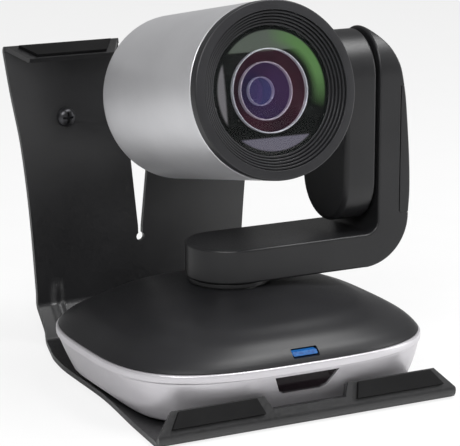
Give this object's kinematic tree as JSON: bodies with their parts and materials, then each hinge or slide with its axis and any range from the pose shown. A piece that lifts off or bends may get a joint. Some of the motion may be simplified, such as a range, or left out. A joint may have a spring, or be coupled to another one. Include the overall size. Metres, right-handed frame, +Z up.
{
  "type": "pan-tilt-zoom camera",
  "caption": "Small pan-tilt-zoom conference camera with a silver barrel on an L-shaped arm and a domed rounded-square base, screwed to a bent sheet-steel wall bracket.",
  "frame": {"origin": "on the pan axis, at the underside of the bracket", "axes": "+Z up along the pan axis, -Y is the way the lens looks at rest (10.8 degrees above level), +X towards the upright arm"},
  "size_m": [0.1325, 0.168, 0.1464],
  "materials": {
    "black_steel": "satin",
    "zinc_steel": "satin",
    "rubber": "matte",
    "dark_plastic": "satin",
    "bezel_plastic": "satin",
    "silver_plastic": "satin metallic paint",
    "pale_silver_plastic": "satin metallic paint",
    "gear_plastic": "matte",
    "brass": "satin",
    "lens_black": "matte",
    "bright_ring": "polished",
    "clear_glass": "gloss",
    "coated_glass": "gloss, coated",
    "circuit_board": "satin",
    "chip_black": "matte",
    "status_blue": "gloss",
    "window_black": "gloss"
  },
  "bodies": {
    "base": {"wall_bracket": "black_steel", "front_lip_pads": "rubber", "top_lip_pads": "rubber", "wall_screws": "zinc_steel", "tripod_screw": "zinc_steel", "base_skirt": "pale_silver_plastic", "base_top_cover": "dark_plastic", "base_bottom_plate": "dark_plastic", "rubber_feet": "rubber", "base_screws": "zinc_steel", "tripod_insert": "brass", "status_light": "status_blue", "ir_window": "window_black", "ir_receiver": "chip_black", "rear_port_panel": "dark_plastic", "usb_socket": "zinc_steel", "dc_socket": "dark_plastic", "main_board": "circuit_board", "board_chips": "chip_black", "board_screws": "zinc_steel", "pan_chassis": "zinc_steel", "chassis_posts": "zinc_steel", "pan_bearing": "zinc_steel", "pan_motor": "zinc_steel"},
    "pan_pinion": {"pan_pinion": "brass"},
    "arm": {"turntable_disc": "dark_plastic", "pan_spindle": "zinc_steel", "pan_gear": "gear_plastic", "arm_housing": "dark_plastic", "arm_side_cover": "dark_plastic", "pod_shell": "dark_plastic", "arm_frame": "zinc_steel", "arm_screws": "zinc_steel", "tilt_bearing": "zinc_steel", "tilt_motor": "zinc_steel"},
    "tilt_pinion": {"tilt_pinion": "brass"},
    "head": {"tilt_hub": "dark_plastic", "tilt_gear": "gear_plastic", "barrel_shell": "silver_plastic", "front_bezel": "bezel_plastic", "front_glass": "clear_glass", "bezel_screws": "zinc_steel", "lens_cell": "lens_black", "lens_tube": "lens_black", "outer_lens": "coated_glass", "middle_lens": "coated_glass", "inner_lens": "coated_glass", "lens_ring_outer": "bright_ring", "lens_ring_middle": "bright_ring", "lens_ring_inner": "bright_ring", "guide_rods": "zinc_steel", "lens_drive_rail": "lens_black", "image_sensor": "chip_black", "sensor_board": "circuit_board", "camera_board": "circuit_board"},
    "zoom_group": {"zoom_lens_carrier": "lens_black", "zoom_lens": "coated_glass"},
    "focus_group": {"focus_lens_carrier": "lens_black", "focus_lens": "coated_glass"}
  },
  "joints": [
    {"name": "pan", "type": "hinge", "parent": "base", "child": "arm", "pos_m": [0, 0, 0.038], "axis": [0, 0, 1], "range_deg": [-130, 130]},
    {"name": "tilt", "type": "hinge", "parent": "arm", "child": "head", "pos_m": [0, 0, 0.1081], "axis": [-1, 0, 0], "range_deg": [-40.8, 79.2]},
    {"name": "pan_pinion_spin", "type": "hinge", "parent": "base", "child": "pan_pinion", "pos_m": [0, -0.024, 0.022], "axis": [0, 0, 1], "range_deg": [-525, 525]},
    {"name": "tilt_pinion_spin", "type": "hinge", "parent": "arm", "child": "tilt_pinion", "pos_m": [0.0505, 0, 0.0901], "axis": [-1, 0, 0], "range_deg": [-239, 124]},
    {"name": "zoom_slide", "type": "slide", "parent": "head", "child": "zoom_group", "axis": [0, 0.9823, -0.1874], "range_m": [-0.007, 0.008]},
    {"name": "focus_slide", "type": "slide", "parent": "head", "child": "focus_group", "axis": [0, 0.9823, -0.1874], "range_m": [-0.002, 0.0048]}
  ],
  "couplings": [
    {"joint": "pan_pinion_spin", "follows": "pan", "ratio": -4},
    {"joint": "tilt_pinion_spin", "follows": "tilt", "ratio": -3}
  ]
}
